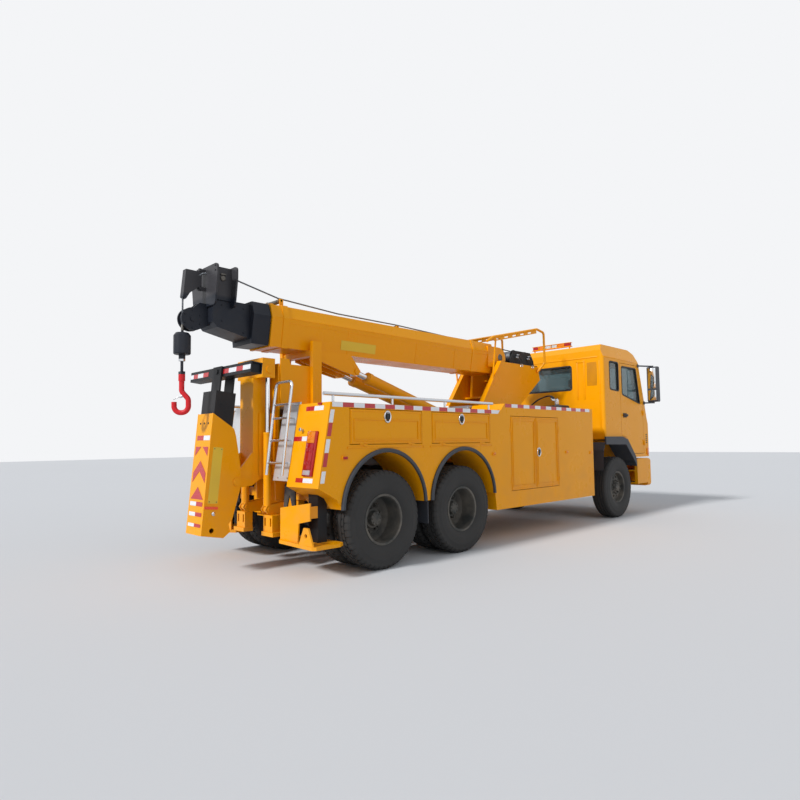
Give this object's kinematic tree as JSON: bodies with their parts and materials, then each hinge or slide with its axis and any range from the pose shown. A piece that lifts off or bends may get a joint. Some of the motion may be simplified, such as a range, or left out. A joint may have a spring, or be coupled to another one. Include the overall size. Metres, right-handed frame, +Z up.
{
  "type": "recovery truck",
  "caption": "Heavy recovery truck with a hollow cab, side lockers, telescopic boom, fall block with hook, folding underlift arm with crossbar and rear stabiliser legs.",
  "frame": {"origin": "on the ground under the middle of the whole truck", "axes": "+X to the truck's left, +Y to its tail, +Z up"},
  "size_m": [2.98, 8.978, 3.354],
  "materials": {
    "yellow_paint": "gloss",
    "black_paint": "satin",
    "chassis_paint": "matt",
    "deck_plate": "tread plate",
    "black_plastic": "grained",
    "stainless": "polished",
    "lamp_plastic": "gloss",
    "rod_chrome": "polished",
    "hook_paint": "gloss",
    "glass": "clear",
    "tyre": "matt rubber",
    "rim_paint": "satin"
  },
  "bodies": {
    "truck": {"chassis_frame": "chassis_paint", "front_axle": "chassis_paint", "rear_axles": "chassis_paint", "leaf_springs": "chassis_paint", "engine_block": "chassis_paint", "body_right": "yellow_paint", "body_left": "yellow_paint", "deck_floor": "deck_plate", "arch_flares": "black_plastic", "mudguards": "black_plastic", "rails_and_ladder": "stainless", "lamps": "lamp_plastic", "rear_frame": "yellow_paint", "boom_rest": "yellow_paint", "boom_pedestal": "yellow_paint", "winch": "black_paint", "cab_shell": "yellow_paint", "cab_glass": "glass", "cab_interior": "black_plastic", "bumper": "yellow_paint", "mirrors": "black_plastic"},
    "steering_right": {"steering_knuckle_right": "chassis_paint"},
    "wheel_front_right": {"tyre_front_right": "tyre", "rim_front_right": "rim_paint"},
    "wheels_mid_right": {"tyres_mid_right": "tyre", "rims_mid_right": "rim_paint"},
    "wheels_rear_right": {"tyres_rear_right": "tyre", "rims_rear_right": "rim_paint"},
    "cab_door_right": {"cab_door_right": "yellow_paint", "door_glass_right": "glass"},
    "locker_lid_rear_right": {"locker_lid_rear_right": "yellow_paint"},
    "locker_lid_front_right": {"locker_lid_front_right": "yellow_paint"},
    "locker_door_rear_right": {"locker_door_rear_right": "yellow_paint"},
    "locker_door_front_right": {"locker_door_front_right": "yellow_paint"},
    "stabiliser_leg_right": {"stabiliser_leg_right": "black_paint"},
    "steering_left": {"steering_knuckle_left": "chassis_paint"},
    "wheel_front_left": {"tyre_front_left": "tyre", "rim_front_left": "rim_paint"},
    "wheels_mid_left": {"tyres_mid_left": "tyre", "rims_mid_left": "rim_paint"},
    "wheels_rear_left": {"tyres_rear_left": "tyre", "rims_rear_left": "rim_paint"},
    "cab_door_left": {"cab_door_left": "yellow_paint", "door_glass_left": "glass"},
    "locker_lid_rear_left": {"locker_lid_rear_left": "yellow_paint"},
    "locker_lid_front_left": {"locker_lid_front_left": "yellow_paint"},
    "locker_door_rear_left": {"locker_door_rear_left": "yellow_paint"},
    "locker_door_front_left": {"locker_door_front_left": "yellow_paint"},
    "stabiliser_leg_left": {"stabiliser_leg_left": "black_paint"},
    "boom": {"boom_outer": "yellow_paint"},
    "boom_extension": {"boom_inner": "black_paint"},
    "hook": {"hook_weight": "black_paint", "crane_hook": "hook_paint"},
    "lift_barrels": {"lift_cylinder_barrels": "black_paint"},
    "lift_rods": {"lift_cylinder_rods": "rod_chrome"},
    "column": {"underlift_column": "yellow_paint"},
    "arm": {"underlift_arm": "yellow_paint"},
    "arm_extension": {"underlift_arm_inner": "black_paint"},
    "crossbar": {"crossbar": "yellow_paint"}
  },
  "joints": [
    {"name": "steer_right", "type": "hinge", "parent": "truck", "child": "steering_right", "pos_m": [-0.85, -3.161, 0.542], "axis": [0, 0, 1], "range_deg": [-35, 35]},
    {"name": "front_wheel_spin_right", "type": "hinge", "parent": "steering_right", "child": "wheel_front_right", "pos_m": [-1.05, -3.161, 0.542], "axis": [1, 0, 0], "continuous": true},
    {"name": "mid_wheel_spin_right", "type": "hinge", "parent": "truck", "child": "wheels_mid_right", "pos_m": [-0.927, 1.289, 0.542], "axis": [1, 0, 0], "continuous": true},
    {"name": "rear_wheel_spin_right", "type": "hinge", "parent": "truck", "child": "wheels_rear_right", "pos_m": [-0.927, 2.639, 0.542], "axis": [1, 0, 0], "continuous": true},
    {"name": "cab_door_right", "type": "hinge", "parent": "truck", "child": "cab_door_right", "pos_m": [-1.231, -4.225, 1.9], "axis": [0, 0, 1], "range_deg": [0, 65]},
    {"name": "locker_lid_rear_right", "type": "hinge", "parent": "truck", "child": "locker_lid_rear_right", "pos_m": [-1.256, 2.609, 1.3685], "axis": [0, -1, 0], "range_deg": [0, 90]},
    {"name": "locker_lid_front_right", "type": "hinge", "parent": "truck", "child": "locker_lid_front_right", "pos_m": [-1.256, 1.309, 1.3685], "axis": [0, -1, 0], "range_deg": [0, 90]},
    {"name": "locker_door_rear_right", "type": "hinge", "parent": "truck", "child": "locker_door_rear_right", "pos_m": [-1.256, 0.2595, 1.2], "axis": [0, 0, -1], "range_deg": [0, 110]},
    {"name": "locker_door_front_right", "type": "hinge", "parent": "truck", "child": "locker_door_front_right", "pos_m": [-1.256, -1.0045, 1.2], "axis": [0, 0, 1], "range_deg": [0, 110]},
    {"name": "stabiliser_right", "type": "slide", "parent": "truck", "child": "stabiliser_leg_right", "axis": [0, 0, -1], "range_m": [0, 0.32]},
    {"name": "steer_left", "type": "hinge", "parent": "truck", "child": "steering_left", "pos_m": [0.85, -3.161, 0.542], "axis": [0, 0, 1], "range_deg": [-35, 35]},
    {"name": "front_wheel_spin_left", "type": "hinge", "parent": "steering_left", "child": "wheel_front_left", "pos_m": [1.05, -3.161, 0.542], "axis": [1, 0, 0], "continuous": true},
    {"name": "mid_wheel_spin_left", "type": "hinge", "parent": "truck", "child": "wheels_mid_left", "pos_m": [0.927, 1.289, 0.542], "axis": [1, 0, 0], "continuous": true},
    {"name": "rear_wheel_spin_left", "type": "hinge", "parent": "truck", "child": "wheels_rear_left", "pos_m": [0.927, 2.639, 0.542], "axis": [1, 0, 0], "continuous": true},
    {"name": "cab_door_left", "type": "hinge", "parent": "truck", "child": "cab_door_left", "pos_m": [1.231, -4.225, 1.9], "axis": [0, 0, -1], "range_deg": [0, 65]},
    {"name": "locker_lid_rear_left", "type": "hinge", "parent": "truck", "child": "locker_lid_rear_left", "pos_m": [1.256, 2.609, 1.3685], "axis": [0, 1, 0], "range_deg": [0, 90]},
    {"name": "locker_lid_front_left", "type": "hinge", "parent": "truck", "child": "locker_lid_front_left", "pos_m": [1.256, 1.309, 1.3685], "axis": [0, 1, 0], "range_deg": [0, 90]},
    {"name": "locker_door_rear_left", "type": "hinge", "parent": "truck", "child": "locker_door_rear_left", "pos_m": [1.256, 0.2595, 1.2], "axis": [0, 0, 1], "range_deg": [0, 110]},
    {"name": "locker_door_front_left", "type": "hinge", "parent": "truck", "child": "locker_door_front_left", "pos_m": [1.256, -1.0045, 1.2], "axis": [0, 0, -1], "range_deg": [0, 110]},
    {"name": "stabiliser_left", "type": "slide", "parent": "truck", "child": "stabiliser_leg_left", "axis": [0, 0, -1], "range_m": [0, 0.32]},
    {"name": "boom_lift", "type": "hinge", "parent": "truck", "child": "boom", "pos_m": [0, -0.889, 2.768], "axis": [1, 0, 0], "range_deg": [0, 50]},
    {"name": "boom_extend", "type": "slide", "parent": "boom", "child": "boom_extension", "axis": [0, 1, 0], "range_m": [0, 2.2]},
    {"name": "hook_swing", "type": "hinge", "parent": "boom_extension", "child": "hook", "pos_m": [0, 4.314, 2.72], "axis": [1, 0, 0], "range_deg": [-50, 0]},
    {"name": "lift_cylinder_tilt", "type": "hinge", "parent": "truck", "child": "lift_barrels", "pos_m": [0, -0.111, 1.62], "axis": [1, 0, 0], "range_deg": [0, 47.51]},
    {"name": "lift_rod_slide", "type": "slide", "parent": "lift_barrels", "child": "lift_rods", "axis": [0, 0.9573, 0.289], "range_m": [0, 1.166]},
    {"name": "column_slide", "type": "slide", "parent": "truck", "child": "column", "axis": [0, 0, -1], "range_m": [0, 0.38]},
    {"name": "arm_fold", "type": "hinge", "parent": "column", "child": "arm", "pos_m": [0, 3.855, 0.98], "axis": [-1, 0, 0], "range_deg": [0, 96.1]},
    {"name": "arm_slide", "type": "slide", "parent": "arm", "child": "arm_extension", "axis": [0, -0.1028, 0.9947], "range_m": [0, 0.601]},
    {"name": "crossbar_swivel", "type": "hinge", "parent": "arm_extension", "child": "crossbar", "pos_m": [0, 3.91893, 2.17088], "axis": [0, 0.9947, 0.1028], "range_deg": [-40, 40]}
  ],
  "couplings": [
    {"joint": "steer_left", "follows": "steer_right", "ratio": 1},
    {"joint": "hook_swing", "follows": "boom_lift", "ratio": -1},
    {"joint": "lift_cylinder_tilt", "follows": "boom_lift", "ratio": 0.95},
    {"joint": "lift_rod_slide", "follows": "boom_lift", "m_per_rad": 1.335},
    {"joint": "arm_fold", "follows": "boom_lift", "ratio": 1.92},
    {"joint": "arm_slide", "follows": "boom_lift", "m_per_rad": 0.6875}
  ]
}
